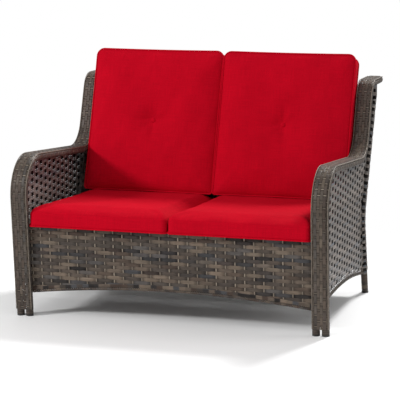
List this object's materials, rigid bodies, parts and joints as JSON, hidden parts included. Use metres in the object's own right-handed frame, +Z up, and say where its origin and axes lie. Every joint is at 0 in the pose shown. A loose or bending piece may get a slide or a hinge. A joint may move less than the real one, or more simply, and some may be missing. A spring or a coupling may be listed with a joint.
{
  "type": "patio loveseat",
  "caption": "Patio loveseat with a woven resin frame on bent steel tubes, rolled wings, arched aprons and loose fabric seat cushions and tufted back cushions.",
  "frame": {"origin": "on the floor, under the middle of the whole loveseat's outline", "axes": "+X to the viewer's right, +Y from the front to the rear, +Z up"},
  "size_m": [1.189, 1.0197, 0.9308],
  "materials": {
    "woven_resin": "flat woven resin strands in mixed grey and brown, satin",
    "wrapped_resin": "resin strand wound round a tube or rod, satin",
    "edge_cord": "round resin cord sewn along an edge, matte",
    "frame_steel": "powder coated steel tube, satin",
    "bolt_steel": "zinc plated",
    "glide_plastic": "moulded, matte",
    "cushion_fabric": "fine plain woven polyester",
    "cushion_fill": "foam slab in fibre wrap"
  },
  "bodies": {
    "frame": {"back_middle_upright": "frame_steel", "back_panel": "woven_resin", "back_top_rail": "frame_steel", "bolt_caps": "glide_plastic", "corner_tabs": "frame_steel", "front_apron": "woven_resin", "front_apron_arch_rail": "wrapped_resin", "front_foot_glides": "glide_plastic", "front_foot_wraps": "wrapped_resin", "front_rail": "frame_steel", "left_arm_band": "woven_resin", "left_arm_inner_tube": "frame_steel", "left_arm_outer_tube": "frame_steel", "left_arm_welts": "edge_cord", "left_back_upright": "frame_steel", "left_rear_post": "frame_steel", "left_rear_post_skin": "woven_resin", "left_roll_end_cap": "wrapped_resin", "left_side_arch_rail": "wrapped_resin", "left_side_panel": "woven_resin", "left_side_rail": "frame_steel", "rear_apron": "woven_resin", "rear_apron_arch_rail": "wrapped_resin", "rear_foot_glides": "glide_plastic", "rear_rail": "frame_steel", "right_arm_band": "woven_resin", "right_arm_inner_tube": "frame_steel", "right_arm_outer_tube": "frame_steel", "right_arm_welts": "edge_cord", "right_back_upright": "frame_steel", "right_rear_post": "frame_steel", "right_rear_post_skin": "woven_resin", "right_roll_end_cap": "wrapped_resin", "right_side_arch_rail": "wrapped_resin", "right_side_panel": "woven_resin", "right_side_rail": "frame_steel", "seat_deck": "woven_resin", "seat_support_bars": "frame_steel", "tab_bolts": "bolt_steel"},
    "left_seat_cushion": {"left_seat_cushion_core": "cushion_fill", "left_seat_cushion_cover": "cushion_fabric", "left_seat_cushion_piping": "cushion_fabric"},
    "left_back_cushion": {"left_back_cushion_button": "cushion_fabric", "left_back_cushion_core": "cushion_fill", "left_back_cushion_cover": "cushion_fabric", "left_back_cushion_piping": "cushion_fabric"},
    "right_seat_cushion": {"right_seat_cushion_core": "cushion_fill", "right_seat_cushion_cover": "cushion_fabric", "right_seat_cushion_piping": "cushion_fabric"},
    "right_back_cushion": {"right_back_cushion_button": "cushion_fabric", "right_back_cushion_core": "cushion_fill", "right_back_cushion_cover": "cushion_fabric", "right_back_cushion_piping": "cushion_fabric"}
  },
  "joints": [
    {"name": "left_seat_cushion_lift", "type": "slide", "parent": "frame", "child": "left_seat_cushion", "axis": [0, -0.9982, 0.0593], "range_m": [0, 0.7]},
    {"name": "left_back_cushion_lift", "type": "slide", "parent": "frame", "child": "left_back_cushion", "axis": [0, 0, 1], "range_m": [0, 0.6]},
    {"name": "right_seat_cushion_lift", "type": "slide", "parent": "frame", "child": "right_seat_cushion", "axis": [0, -0.9982, 0.0593], "range_m": [0, 0.7]},
    {"name": "right_back_cushion_lift", "type": "slide", "parent": "frame", "child": "right_back_cushion", "axis": [0, 0, 1], "range_m": [0, 0.6]}
  ]
}
